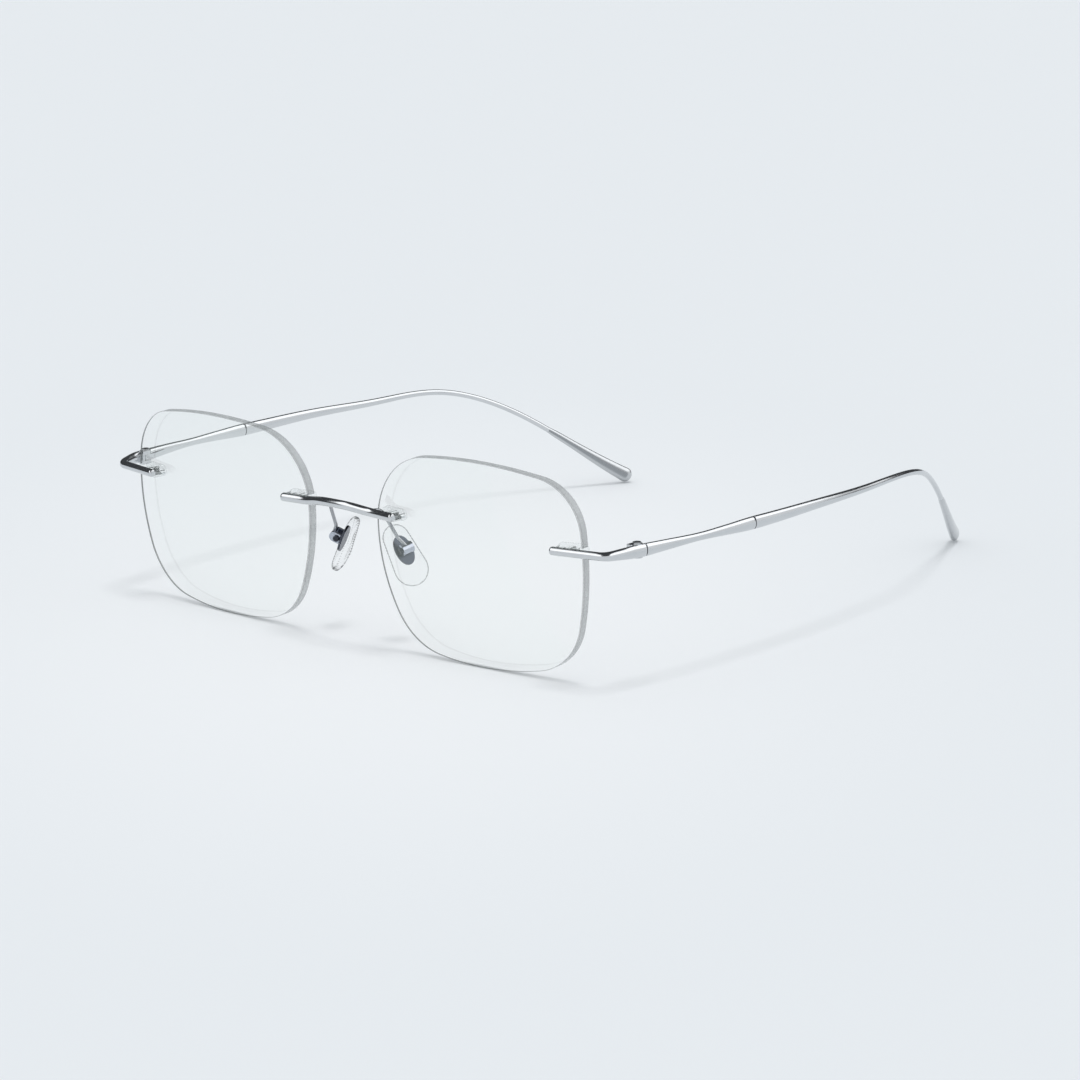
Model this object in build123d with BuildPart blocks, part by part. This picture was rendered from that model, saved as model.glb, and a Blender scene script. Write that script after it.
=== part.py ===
from build123d import *
import os
from math import cos, radians, sin

os.makedirs("parts", exist_ok=True)

# Rimless eyeglasses: two drilled lenses carried by a bridge and two end pieces on short pins,
# sprung wire temples on three-knuckle screw hinges, and rocking nose pads on wire arms.
#
# Frame: +X towards the wearer's left, -Y forwards, +Z up. The lens edges and the temple tips
# stand on z = 0, and the origin is under the middle of the whole object.
# Each left piece is modelled, and the right one is its mirror image in the YZ plane.

FRONT_Y = -70.9  # y of the middle of each lens's front

# Lenses
LENS_WIDTH = 53.0
LENS_HEIGHT = 42.6
LENS_GAP = 19.4
LENS_WRAP = 3.0  # degrees, the temporal side sweeps back
LENS_TILT = 2.9  # degrees, the top leans forwards
LENS_FRONT_RADIUS = 146.0
LENS_REAR_RADIUS = 120.0
LENS_CENTRE_THICKNESS = 1.5
LENS_BLANK_REACH = 8.0
LENS_EDGE_BEVEL = 0.15
TEMPORAL_RADIUS = 52.0
TEMPORAL_APEX = 3.4
TOP_RADIUS = 99.0
TOP_APEX = -0.4
NASAL_RADIUS = 40.0
NASAL_APEX = 4.8
BOTTOM_RADIUS = 78.0
BOTTOM_APEX = -0.3
TOP_TEMPORAL_CORNER = 11.8
TOP_NASAL_CORNER = 15.4
BOTTOM_NASAL_CORNER = 13.9
BOTTOM_TEMPORAL_CORNER = 13.4

# Lens mounts: a pin through a hole and a pin through an edge notch, in one clear plug
PIN_RADIUS = 0.44
PLUG_BORE_RADIUS = 0.45
PLUG_TUBE_RADIUS = 0.79
LENS_HOLE_RADIUS = 0.80
PLUG_FLANGE_RADIUS = 1.15
PLUG_FLANGE_THICKNESS = 0.5
PLUG_FLANGE_SINK = 0.4  # how far the flange's blank reaches into the lens before the cut
PLUG_SEAT = -2.05  # the back of the lens at a mount, from its front
PIN_STAND_OUT = 0.15
PIN_SEAT_DEPTH = 0.5
SEAT_GAP = 0.02
PIN_HALF_SPACING = 2.3
NOTCH_REACH = 3.0
END_MOUNT_U = 23.3  # sideways from the lens's middle to the middle of the mount, outwards
END_MOUNT_V = 6.1
BRIDGE_MOUNT_U = -23.4
BRIDGE_MOUNT_V = 7.2

# Bridge
BRIDGE_RADIUS = 0.9
BRIDGE_OUTER_REACH = 3.1
BRIDGE_INNER_REACH = 4.6
BRIDGE_SHOULDER = (4.2, -1.3, 29.5)
BRIDGE_LOWER_BEND = 6.0
BRIDGE_UPPER_BEND = 9.0
ROD_END_ROUND = 0.55

# End pieces
END_ROD_WIDTH = 1.7
END_ROD_REACH = 3.6
END_CORNER = (68.3, 3.75, 27.45)
END_SHOULDER = (69.75, 8.6, 27.5)
END_BUTT = (70.3, 13.0, 27.4)
END_CORNER_BEND = 2.8
END_SHOULDER_BEND = 12.0
# The flare at the hinge, which starts inside the rod: share of the path, width and height of
# the oval section there
END_FLARE = (
    (0.50, 1.30, 1.30),
    (0.62, 1.70, 1.90),
    (0.74, 1.76, 2.30),
    (0.86, 1.80, 2.56),
    (1.0, 1.80, 2.66),
)

# Temples
BUTT_GAP = 0.22
COLLAR_AT = 31.0
COLLAR_WIDTH = 1.8
COLLAR_HEIGHT = 2.7
TEMPLE_ROUTE = (
    (70.3, 13.0, 27.4),
    (71.9, 30.8, 27.3),
    (72.2, 48.3, 27.0),
    (71.8, 65.9, 26.9),
    (70.1, 83.8, 26.5),
    (67.2, 102.3, 25.7),
    (61.5, 115.5, 20.8),
    (54.9, 128.3, 12.0),
    (47.3, 142.2, 1.5),
)
# Distance from the hinge butt, width and height of the oval section there
TEMPLE_SECTIONS = (
    (0.0, 1.8, 2.66),
    (6.0, 1.6, 2.20),
    (15.0, 1.45, 1.66),
    (23.0, 1.60, 2.15),
    (COLLAR_AT, COLLAR_WIDTH, COLLAR_HEIGHT),
    (38.0, 1.75, 2.55),
    (52.0, 1.60, 2.10),
    (68.0, 1.40, 1.60),
    (84.0, 1.20, 1.30),
    (100.0, 1.15, 1.20),
    (121.0, 1.15, 1.20),
)
COLLAR_GROOVE_WIDTH = 0.25
COLLAR_GROOVE_DEPTH = 0.12
# The wire that goes on inside the tip
CORE_SECTIONS = (
    (121.0, 0.95, 0.96),
    (126.5, 0.95, 0.96),
    (132.0, 0.95, 0.96),
)

# Temple tips: sleeves that widen to a paddle
TIP_SECTIONS = (
    (118.0, 1.40, 1.45),
    (125.0, 1.60, 1.85),
    (132.0, 1.85, 2.50),
    (140.2, 2.15, 3.30),
)
TIP_CAP_REACH = 1.6

# Temple hinges
HINGE_X = 69.4
HINGE_Y = 11.85
KNUCKLE_RADIUS = 1.1
KNUCKLE_CLEARANCE = 0.12
HINGE_BOTTOM_Z = 26.0
OUTER_KNUCKLE_HEIGHT = 0.75
WASHER_SPACE = 0.12
WASHER_THICKNESS = 0.08
MIDDLE_KNUCKLE_HEIGHT = 1.1
# The front leaf's faces, sideways and back from the pivot
LEAF_FRONT = -1.8
LEAF_WEB_REAR = -1.32
LEAF_INNER = -1.1
LEAF_OUTER = 0.1
# Plan outline of the rear leaf's arm, from the pivot back into the temple
REAR_ARM_OUTER = 0.3
REAR_ARM = (
    (-1.1, 0),
    (-0.95, 2.0),
    (-0.1, 5.6),
    (0.5, 5.6),
    (REAR_ARM_OUTER, 1.4),
    (REAR_ARM_OUTER, 0),
)
SWING_REACH = 3.0
HINGE_SCREW_RADIUS = 0.5
HINGE_BORE_RADIUS = 0.54
HINGE_HEAD_RADIUS = 0.85
HINGE_HEAD_HEIGHT = 0.3
SCREW_SLOT_WIDTH = 0.22
SCREW_SLOT_DEPTH = 0.16

# Nose pads. The pad's own frame: x across the pad, y up along it, z outwards from the nose
PAD_CENTRE = (8.3, 9.9, 17.7)
PAD_UP = Vector(-0.487, -0.092, 0.868)
PAD_OUT = Vector(0.826, -0.373, 0.423)
PAD_LENGTH = 13.4
PAD_LOWER_RADIUS = 3.7
PAD_UPPER_RADIUS = 2.9
PAD_THICKNESS = 2.1
PAD_EDGE_ROUND = 0.8
CORE_LENGTH = 6.4
CORE_WIDTH = 3.8
CORE_THICKNESS = 0.5
PIVOT_UP = 0.9
PIVOT_OUT = 2.0
BOX_SIDE = 2.3
BOX_WIDTH = 2.4
BOX_NEAR_OUT = 1.35
BOX_SLOT_WIDTH = 1.3
BOX_BACK_WALL = 0.8
BOX_ROUND = 1.0
BOSS_WIDTH = 1.1
BOSS_RADIUS = 0.75
PAD_SCREW_RADIUS = 0.35
PAD_BORE_RADIUS = 0.39
PAD_HEAD_RADIUS = 0.65
PAD_HEAD_HEIGHT = 0.35

# Pad arms: wires from the back of the bridge to the pad boxes
ARM_RADIUS = 0.36
ARM_ROUTE = (
    (7.1, -0.5, 28.7),
    (7.5, 4.4, 28.2),
    (8.7, 7.6, 21.9),
)
ARM_BENDS = (2.6, 1.6)


def at(x, y, z):
    """A point whose y is counted back from the lens fronts."""
    return Vector(x, y + FRONT_Y, z)


def ring_plane(path, length):
    """The plane square to a path at this length, with its x level."""
    tangent = path.tangent_at(length, position_mode=PositionMode.LENGTH)
    level = tangent.cross(Vector(0, 0, 1)).normalized()
    return Plane(path.position_at(length, position_mode=PositionMode.LENGTH), x_dir=level, z_dir=tangent)


def oval(plane, width, height):
    """An elliptical section on this plane."""
    with BuildSketch(plane) as section:
        Ellipse(width / 2, height / 2)
    return section.sketch


def rod(plane, radius, near, far):
    """A round bar along the plane's normal, from one height to another."""
    with BuildPart() as bar:
        with BuildSketch(plane.offset(near)):
            Circle(radius)
        extrude(amount=far - near)
    return bar.part


def slab(plane, corner, opposite):
    """A rectangular block between two corners in a plane's own frame."""
    size = [high - low for low, high in zip(corner, opposite)]
    middle = [(low + high) / 2 for low, high in zip(corner, opposite)]
    with BuildPart() as block:
        with BuildSketch(plane.offset(corner[2])):
            with Locations((middle[0], middle[1])):
                Rectangle(size[0], size[1])
        extrude(amount=size[2])
    return block.part


def mirrored(left):
    """The right-hand piece that matches a left-hand one."""
    with BuildPart() as right:
        mirror(left.part, about=Plane.YZ)
    return right


def save(piece, name):
    piece.part.label = name
    export_step(piece.part, f"parts/{name}.step")


def save_pair(left, name):
    save(left, f"{name}_left")
    save(mirrored(left), f"{name}_right")


# ---------------------------------------------------------------- lens frame and mount frames

wrap = radians(LENS_WRAP)
tilt = radians(LENS_TILT)
lens_centre = at((LENS_WIDTH + LENS_GAP) / 2, 0, LENS_HEIGHT / 2)
lens_plane = Plane(
    lens_centre,
    x_dir=Vector(cos(wrap), sin(wrap), 0),
    z_dir=Vector(sin(wrap) * cos(tilt), -cos(wrap) * cos(tilt), -cos(wrap) * sin(tilt)),
)
front_sphere_plane = lens_plane.offset(-LENS_FRONT_RADIUS)
rear_sphere_plane = lens_plane.offset(-LENS_CENTRE_THICKNESS - LENS_REAR_RADIUS)


def mount_plane(u, v):
    """The plane that touches the lens's front at this place, with its x along the rods."""
    sag = LENS_FRONT_RADIUS - (LENS_FRONT_RADIUS**2 - u**2 - v**2) ** 0.5
    touch = lens_plane.from_local_coords(Vector(u, v, -sag))
    normal = (touch - front_sphere_plane.origin).normalized()
    sideways = Vector(0, 0, 1).cross(normal).normalized()
    return Plane(touch, x_dir=sideways, z_dir=normal)


end_mount = mount_plane(END_MOUNT_U, END_MOUNT_V)
bridge_mount = mount_plane(BRIDGE_MOUNT_U, BRIDGE_MOUNT_V)

# The pin places in each mount's frame: the hole, then the notch, which opens over the lens edge
END_PINS = (-PIN_HALF_SPACING, PIN_HALF_SPACING)
BRIDGE_PINS = (PIN_HALF_SPACING, -PIN_HALF_SPACING)


def mount_rods(mount, places, radius, near, far):
    """Round bars at a mount's two pin places."""
    with BuildPart() as bars:
        for place in places:
            add(rod(mount.move(Location(mount.x_dir * place)), radius, near, far))
    return bars.part


# ---------------------------------------------------------------- lenses

with BuildPart() as lens_left:
    with BuildSketch(lens_plane):
        with Locations((LENS_WIDTH / 2 - TEMPORAL_RADIUS, TEMPORAL_APEX)):
            Circle(TEMPORAL_RADIUS)
        with Locations((TOP_APEX, LENS_HEIGHT / 2 - TOP_RADIUS)):
            Circle(TOP_RADIUS, mode=Mode.INTERSECT)
        with Locations((NASAL_RADIUS - LENS_WIDTH / 2, NASAL_APEX)):
            Circle(NASAL_RADIUS, mode=Mode.INTERSECT)
        with Locations((BOTTOM_APEX, BOTTOM_RADIUS - LENS_HEIGHT / 2)):
            Circle(BOTTOM_RADIUS, mode=Mode.INTERSECT)
    extrude(amount=LENS_BLANK_REACH, both=True)
    corners = edges().filter_by(Axis(lens_centre, lens_plane.z_dir)).sort_by(Axis.Z)
    lower = corners[:2].sort_by(Axis.X)
    upper = corners[2:].sort_by(Axis.X)
    fillet(lower[0], BOTTOM_NASAL_CORNER)
    fillet(lower[1], BOTTOM_TEMPORAL_CORNER)
    fillet(upper[0], TOP_NASAL_CORNER)
    fillet(upper[1], TOP_TEMPORAL_CORNER)
    with Locations(front_sphere_plane):
        Sphere(LENS_FRONT_RADIUS, rotation=(90, 0, 0), mode=Mode.INTERSECT)
    with Locations(rear_sphere_plane):
        Sphere(LENS_REAR_RADIUS, rotation=(90, 0, 0), mode=Mode.SUBTRACT)
    rims = faces().filter_by(GeomType.SPHERE).edges()
    chamfer(rims, LENS_EDGE_BEVEL)
    for mount, places in ((end_mount, END_PINS), (bridge_mount, BRIDGE_PINS)):
        bores = mount_rods(mount, places, LENS_HOLE_RADIUS, -LENS_BLANK_REACH, LENS_BLANK_REACH)
        add(bores, mode=Mode.SUBTRACT)
        outwards = 1 if places[1] > 0 else -1
        ends = sorted((places[1], places[1] + outwards * NOTCH_REACH))
        low_corner = (ends[0], -LENS_HOLE_RADIUS, -LENS_BLANK_REACH)
        high_corner = (ends[1], LENS_HOLE_RADIUS, LENS_BLANK_REACH)
        add(slab(mount, low_corner, high_corner), mode=Mode.SUBTRACT)

save_pair(lens_left, "lens")

# ---------------------------------------------------------------- clear plugs and mounting pins

FLANGE_REAR = PLUG_SEAT - PLUG_FLANGE_THICKNESS
FLANGE_FRONT = PLUG_SEAT + PLUG_FLANGE_SINK
PIN_REAR = FLANGE_REAR - PIN_STAND_OUT


def plug(mount, places):
    """A clear double plug: a flange behind the lens and two tubes into its hole and notch."""
    with BuildPart() as body:
        with BuildSketch(mount.offset(FLANGE_REAR)):
            SlotCenterToCenter(2 * PIN_HALF_SPACING, 2 * PLUG_FLANGE_RADIUS)
        extrude(amount=FLANGE_FRONT - FLANGE_REAR)
        add(lens_left.part, mode=Mode.SUBTRACT)
        add(mount_rods(mount, places, PLUG_TUBE_RADIUS, FLANGE_REAR, -2 * SEAT_GAP))
        bores = mount_rods(mount, places, PLUG_BORE_RADIUS, 2 * FLANGE_REAR, LENS_BLANK_REACH)
        add(bores, mode=Mode.SUBTRACT)
    return body


save_pair(plug(end_mount, END_PINS), "end_piece_plug")
save_pair(plug(bridge_mount, BRIDGE_PINS), "bridge_plug")

with BuildPart() as end_piece_pins_left:
    add(mount_rods(end_mount, END_PINS, PIN_RADIUS, PIN_REAR, PIN_SEAT_DEPTH))

with BuildPart() as bridge_pins:
    add(mount_rods(bridge_mount, BRIDGE_PINS, PIN_RADIUS, PIN_REAR, PIN_SEAT_DEPTH))
    mirror(about=Plane.YZ)

save_pair(end_piece_pins_left, "end_piece_pins")
save(bridge_pins, "bridge_pins")

# ---------------------------------------------------------------- bridge

bridge_out = BRIDGE_RADIUS + SEAT_GAP
bridge_end = bridge_mount.from_local_coords(Vector(BRIDGE_OUTER_REACH, 0, bridge_out))
bridge_foot = bridge_mount.from_local_coords(Vector(-BRIDGE_INNER_REACH, 0, bridge_out))
left_half = [bridge_end, bridge_foot, at(*BRIDGE_SHOULDER)]
right_half = [Vector(-point.X, point.Y, point.Z) for point in reversed(left_half)]

with BuildPart() as bridge:
    with BuildLine() as bridge_path:
        FilletPolyline(
            left_half + right_half,
            radius=(BRIDGE_LOWER_BEND, BRIDGE_UPPER_BEND, BRIDGE_UPPER_BEND, BRIDGE_LOWER_BEND),
        )
    with BuildSketch(Plane(bridge_path.line @ 0, z_dir=bridge_path.line % 0)):
        Circle(BRIDGE_RADIUS)
    sweep()
    for cap in faces().sort_by(Axis.X)[0], faces().sort_by(Axis.X)[-1]:
        fillet(cap.edges(), ROD_END_ROUND)
    add(bridge_pins.part, mode=Mode.SUBTRACT)

save(bridge, "bridge")

# ---------------------------------------------------------------- hinge

hinge_plane = Plane(at(HINGE_X, HINGE_Y, HINGE_BOTTOM_Z))
MIDDLE_BOTTOM = OUTER_KNUCKLE_HEIGHT + WASHER_SPACE
MIDDLE_TOP = MIDDLE_BOTTOM + MIDDLE_KNUCKLE_HEIGHT
UPPER_BOTTOM = MIDDLE_TOP + WASHER_SPACE
HINGE_TOP = UPPER_BOTTOM + OUTER_KNUCKLE_HEIGHT
SCREW_TOP = HINGE_TOP + HINGE_HEAD_HEIGHT
SLOT_RADIUS = KNUCKLE_RADIUS + KNUCKLE_CLEARANCE

with BuildPart() as hinge_front_leaf_left:
    for bottom in (0, UPPER_BOTTOM):
        top = bottom + OUTER_KNUCKLE_HEIGHT
        add(rod(hinge_plane, KNUCKLE_RADIUS, bottom, top))
        add(slab(hinge_plane, (LEAF_INNER, LEAF_FRONT, bottom), (LEAF_OUTER, 0, top)))
    add(slab(hinge_plane, (LEAF_INNER, LEAF_FRONT, 0), (LEAF_OUTER, LEAF_WEB_REAR, HINGE_TOP)))
    add(rod(hinge_plane, HINGE_SCREW_RADIUS + SEAT_GAP, 0, HINGE_TOP), mode=Mode.SUBTRACT)

save_pair(hinge_front_leaf_left, "hinge_front_leaf")

with BuildPart() as hinge_rear_leaf_left:
    with BuildSketch(hinge_plane.offset(MIDDLE_BOTTOM)):
        Circle(KNUCKLE_RADIUS)
        with BuildLine():
            Polyline(REAR_ARM, close=True)
        make_face()
    extrude(amount=MIDDLE_KNUCKLE_HEIGHT)
    add(rod(hinge_plane, HINGE_BORE_RADIUS, 0, HINGE_TOP), mode=Mode.SUBTRACT)

save_pair(hinge_rear_leaf_left, "hinge_rear_leaf")

with BuildPart() as hinge_washers_left:
    for space_bottom in (OUTER_KNUCKLE_HEIGHT, MIDDLE_TOP):
        bottom = space_bottom + (WASHER_SPACE - WASHER_THICKNESS) / 2
        with BuildSketch(hinge_plane.offset(bottom)):
            Circle(KNUCKLE_RADIUS)
            Circle(HINGE_BORE_RADIUS, mode=Mode.SUBTRACT)
        extrude(amount=WASHER_THICKNESS)

save_pair(hinge_washers_left, "hinge_washers")

with BuildPart() as hinge_screw_left:
    add(rod(hinge_plane, HINGE_SCREW_RADIUS, 0, HINGE_TOP))
    add(rod(hinge_plane, HINGE_HEAD_RADIUS, HINGE_TOP, SCREW_TOP))
    slot_low = (-HINGE_HEAD_RADIUS, -SCREW_SLOT_WIDTH / 2, SCREW_TOP - SCREW_SLOT_DEPTH)
    slot_high = (HINGE_HEAD_RADIUS, SCREW_SLOT_WIDTH / 2, SCREW_TOP)
    add(slab(hinge_plane, slot_low, slot_high), mode=Mode.SUBTRACT)

save_pair(hinge_screw_left, "hinge_screw")

# ---------------------------------------------------------------- end pieces

end_out = END_ROD_WIDTH / 2 + SEAT_GAP
end_tip = end_mount.from_local_coords(Vector(-END_ROD_REACH, 0, end_out))

with BuildLine() as end_path:
    FilletPolyline(
        [end_tip, at(*END_CORNER), at(*END_SHOULDER), at(*END_BUTT)],
        radius=(END_CORNER_BEND, END_SHOULDER_BEND),
    )

end_line = end_path.wire()

with BuildPart() as end_flare:
    flare_rings = []
    for share, width, height in END_FLARE:
        flare_rings.append(oval(ring_plane(end_line, share * end_line.length), width, height))
    loft(flare_rings)

with BuildPart() as end_piece_left:
    with BuildSketch(Plane(end_line @ 0, z_dir=end_line % 0)):
        Circle(END_ROD_WIDTH / 2)
    sweep(path=end_line)
    fillet(faces().sort_by_distance(end_tip)[0].edges(), ROD_END_ROUND)
    add(end_flare.part)
    add(end_piece_pins_left.part, mode=Mode.SUBTRACT)
    add(hinge_front_leaf_left.part, mode=Mode.SUBTRACT)
    add(rod(hinge_plane, KNUCKLE_RADIUS, 0, HINGE_TOP), mode=Mode.SUBTRACT)
    add(rod(hinge_plane, SLOT_RADIUS, OUTER_KNUCKLE_HEIGHT, UPPER_BOTTOM), mode=Mode.SUBTRACT)
    add(rod(hinge_plane, HINGE_HEAD_RADIUS + SEAT_GAP, HINGE_TOP, 2 * SCREW_TOP), mode=Mode.SUBTRACT)
    swing_low = (2 * LEAF_INNER, 0, OUTER_KNUCKLE_HEIGHT)
    swing_high = (REAR_ARM_OUTER + KNUCKLE_CLEARANCE, SWING_REACH, UPPER_BOTTOM)
    add(slab(hinge_plane, swing_low, swing_high), mode=Mode.SUBTRACT)

save_pair(end_piece_left, "end_piece")

# ---------------------------------------------------------------- temples and tips

with BuildLine() as temple_path:
    Spline([at(*point) for point in TEMPLE_ROUTE])

temple_line = temple_path.wire()


def temple_loft(sections, offset=0.0):
    """Ovals lofted along the temple; the offset moves the first one back from the hinge butt."""
    rings = []
    for place, width, height in sections:
        rings.append(oval(ring_plane(temple_line, max(place, offset)), width, height))
    with BuildPart() as body:
        loft(rings)
    return body.part


collar_plane = ring_plane(temple_line, COLLAR_AT)

with BuildPart() as temple_left:
    add(temple_loft(TEMPLE_SECTIONS, BUTT_GAP))
    add(temple_loft(CORE_SECTIONS))
    with BuildSketch(collar_plane.offset(-COLLAR_GROOVE_WIDTH / 2)):
        Circle(COLLAR_HEIGHT)
        Ellipse(
            COLLAR_WIDTH / 2 - COLLAR_GROOVE_DEPTH,
            COLLAR_HEIGHT / 2 - COLLAR_GROOVE_DEPTH,
            mode=Mode.SUBTRACT,
        )
    extrude(amount=COLLAR_GROOVE_WIDTH, mode=Mode.SUBTRACT)
    add(hinge_rear_leaf_left.part, mode=Mode.SUBTRACT)

tip_place, tip_width, tip_height = TIP_SECTIONS[-1]
tip_ball = scale(Sphere(1), by=(tip_width / 2, tip_height / 2, TIP_CAP_REACH))
tip_cap = ring_plane(temple_line, tip_place).location * tip_ball

with BuildPart() as temple_tip_left:
    add(temple_loft(TIP_SECTIONS))
    add(tip_cap)
    add(temple_left.part, mode=Mode.SUBTRACT)

save_pair(temple_left, "temple")
save_pair(temple_tip_left, "temple_tip")

# ---------------------------------------------------------------- nose pads

pad_across = PAD_UP.cross(PAD_OUT).normalized()
pad_plane = Plane(at(*PAD_CENTRE), x_dir=pad_across, z_dir=PAD_OUT)
pivot_plane = Plane(
    pad_plane.from_local_coords(Vector(0, PIVOT_UP, PIVOT_OUT)),
    x_dir=pad_plane.y_dir,
    z_dir=pad_plane.x_dir,
)
CORE_FLOOR = PAD_THICKNESS / 2 - CORE_THICKNESS

with BuildPart() as pad_core_left:
    with BuildSketch(pad_plane.offset(CORE_FLOOR)):
        with Locations((0, PIVOT_UP)):
            Ellipse(CORE_WIDTH / 2, CORE_LENGTH / 2)
    extrude(amount=CORE_THICKNESS)
    boss_low = (-BOSS_WIDTH / 2, PIVOT_UP - BOSS_RADIUS, CORE_FLOOR)
    boss_high = (BOSS_WIDTH / 2, PIVOT_UP + BOSS_RADIUS, PIVOT_OUT)
    add(slab(pad_plane, boss_low, boss_high))
    add(rod(pivot_plane, BOSS_RADIUS, -BOSS_WIDTH / 2, BOSS_WIDTH / 2))
    add(rod(pivot_plane, PAD_BORE_RADIUS, -BOX_WIDTH, BOX_WIDTH), mode=Mode.SUBTRACT)

save_pair(pad_core_left, "pad_core")

upper_middle = PAD_LENGTH / 2 - PAD_UPPER_RADIUS
lower_middle = PAD_LOWER_RADIUS - PAD_LENGTH / 2

with BuildPart() as nose_pad_left:
    with BuildSketch(pad_plane.offset(-PAD_THICKNESS / 2)):
        with Locations((0, upper_middle)):
            Circle(PAD_UPPER_RADIUS)
        with Locations((0, lower_middle)):
            Circle(PAD_LOWER_RADIUS)
        make_hull()
    extrude(amount=PAD_THICKNESS)
    fillet(faces().filter_by(pad_plane).edges(), PAD_EDGE_ROUND)
    add(pad_core_left.part, mode=Mode.SUBTRACT)

save_pair(nose_pad_left, "nose_pad")

box_far_out = BOX_NEAR_OUT + BOX_SIDE
box_low = (-BOX_WIDTH / 2, PIVOT_UP - BOX_SIDE / 2, BOX_NEAR_OUT)
box_high = (BOX_WIDTH / 2, PIVOT_UP + BOX_SIDE / 2, box_far_out)
slot_low = (-BOX_SLOT_WIDTH / 2, PIVOT_UP - BOX_SIDE, 0)
slot_high = (BOX_SLOT_WIDTH / 2, PIVOT_UP + BOX_SIDE, box_far_out - BOX_BACK_WALL)

box_axis = Axis(pad_plane.origin, pad_plane.z_dir)

with BuildPart() as pad_box_left:
    add(slab(pad_plane, box_low, box_high))
    outer_edges = edges().filter_by(Axis(pad_plane.origin, pad_plane.x_dir)).sort_by(box_axis)[-2:]
    fillet(outer_edges, BOX_ROUND)
    add(slab(pad_plane, slot_low, slot_high), mode=Mode.SUBTRACT)
    add(rod(pivot_plane, PAD_SCREW_RADIUS + SEAT_GAP, -BOX_WIDTH, BOX_WIDTH), mode=Mode.SUBTRACT)

save_pair(pad_box_left, "pad_box")

with BuildPart() as pad_screw_left:
    add(rod(pivot_plane, PAD_SCREW_RADIUS, -BOX_WIDTH / 2, BOX_WIDTH / 2))
    add(rod(pivot_plane, PAD_HEAD_RADIUS, -BOX_WIDTH / 2 - PAD_HEAD_HEIGHT, -BOX_WIDTH / 2))

save_pair(pad_screw_left, "pad_screw")

# ---------------------------------------------------------------- pad arms

arm_seat = pad_plane.from_local_coords(Vector(0, PIVOT_UP, box_far_out - BOX_BACK_WALL / 2))

with BuildPart() as pad_arm_left:
    with BuildLine() as arm_path:
        FilletPolyline([at(*point) for point in ARM_ROUTE] + [arm_seat], radius=ARM_BENDS)
    with BuildSketch(Plane(arm_path.line @ 0, z_dir=arm_path.line % 0)):
        Circle(ARM_RADIUS)
    sweep()
    add(bridge.part, mode=Mode.SUBTRACT)
    add(slab(pad_plane, (box_low[0], box_low[1], 0), box_high), mode=Mode.SUBTRACT)

save_pair(pad_arm_left, "pad_arm")

print("hinge axis x, y:", HINGE_X, HINGE_Y + FRONT_Y)
print("pad pivot:", [round(value, 3) for value in pivot_plane.origin], "axis:", pivot_plane.z_dir)
print("temple line length:", temple_line.length)
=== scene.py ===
from math import acos, asin, ceil, cos, pi, radians, sin, sqrt, tan

import bpy
import numpy as np
from mathutils import Matrix


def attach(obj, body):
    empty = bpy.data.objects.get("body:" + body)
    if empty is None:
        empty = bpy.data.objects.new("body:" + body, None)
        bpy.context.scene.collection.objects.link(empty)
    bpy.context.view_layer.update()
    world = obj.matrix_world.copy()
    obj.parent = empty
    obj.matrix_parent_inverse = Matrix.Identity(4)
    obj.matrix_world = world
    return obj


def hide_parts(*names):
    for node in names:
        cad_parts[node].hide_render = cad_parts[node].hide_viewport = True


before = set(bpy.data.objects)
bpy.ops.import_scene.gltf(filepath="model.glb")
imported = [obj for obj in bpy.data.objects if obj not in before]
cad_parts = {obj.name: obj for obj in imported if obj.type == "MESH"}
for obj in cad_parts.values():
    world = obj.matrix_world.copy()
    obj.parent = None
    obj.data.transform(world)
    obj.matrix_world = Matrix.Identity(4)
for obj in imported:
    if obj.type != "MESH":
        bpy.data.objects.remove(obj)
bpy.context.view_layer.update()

# Rimless eyeglasses. Lengths are millimetres here and become metres when a mesh is made.
# Frame: +X towards the wearer's left, -Y forwards, +Z up. Each left piece is made, and its
# mirror image in the YZ plane is the right one. These design sizes are the CAD model's own.
# The y of a place is counted back from the lens fronts, and the function at moves it.

MM = 0.001
FRONT_Y = -70.9  # y of the middle of each lens's front

# Lenses
LENS_WIDTH = 53.0
LENS_HEIGHT = 42.6
LENS_GAP = 19.4
LENS_WRAP = radians(3.0)
LENS_TILT = radians(2.9)
LENS_FRONT_RADIUS = 146.0
LENS_REAR_RADIUS = 120.0
LENS_CENTRE_THICKNESS = 1.5
LENS_EDGE_BEVEL = 0.15
TEMPORAL_RADIUS = 52.0
TEMPORAL_APEX = 3.4
TOP_RADIUS = 99.0
TOP_APEX = -0.4
NASAL_RADIUS = 40.0
NASAL_APEX = 4.8
BOTTOM_RADIUS = 78.0
BOTTOM_APEX = -0.3
TOP_TEMPORAL_CORNER = 11.8
TOP_NASAL_CORNER = 15.4
BOTTOM_NASAL_CORNER = 13.9
BOTTOM_TEMPORAL_CORNER = 13.4
LENS_RIM_STRIP = 0.42  # the front part of the wall, given a darker colour so that it shows as a dark line from inside: painted shade
LENS_RINGS = 26
OUTLINE_STEP = 0.4
FLAT_TURN = 0.92  # lens faces whose normal is this near the axis belong to its two big surfaces
BEVEL_TURN = 0.35  # and those with less than this to its wall
SURFACE, WALL, BEVEL, STRIP = range(4)  # the lens's material slots

# Lens mounts
LENS_HOLE_RADIUS = 0.80
PIN_HALF_SPACING = 2.3
NOTCH_REACH = 3.0
NOTCH_STEPS = 32
MOUNT_CUT_REACH = 8.0
OVERCUT = 0.01  # how far a cutter passes a face that it meets flush
END_MOUNT = (23.3, 6.1)
BRIDGE_MOUNT = (-23.4, 7.2)
SEAT_GAP = 0.02

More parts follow.
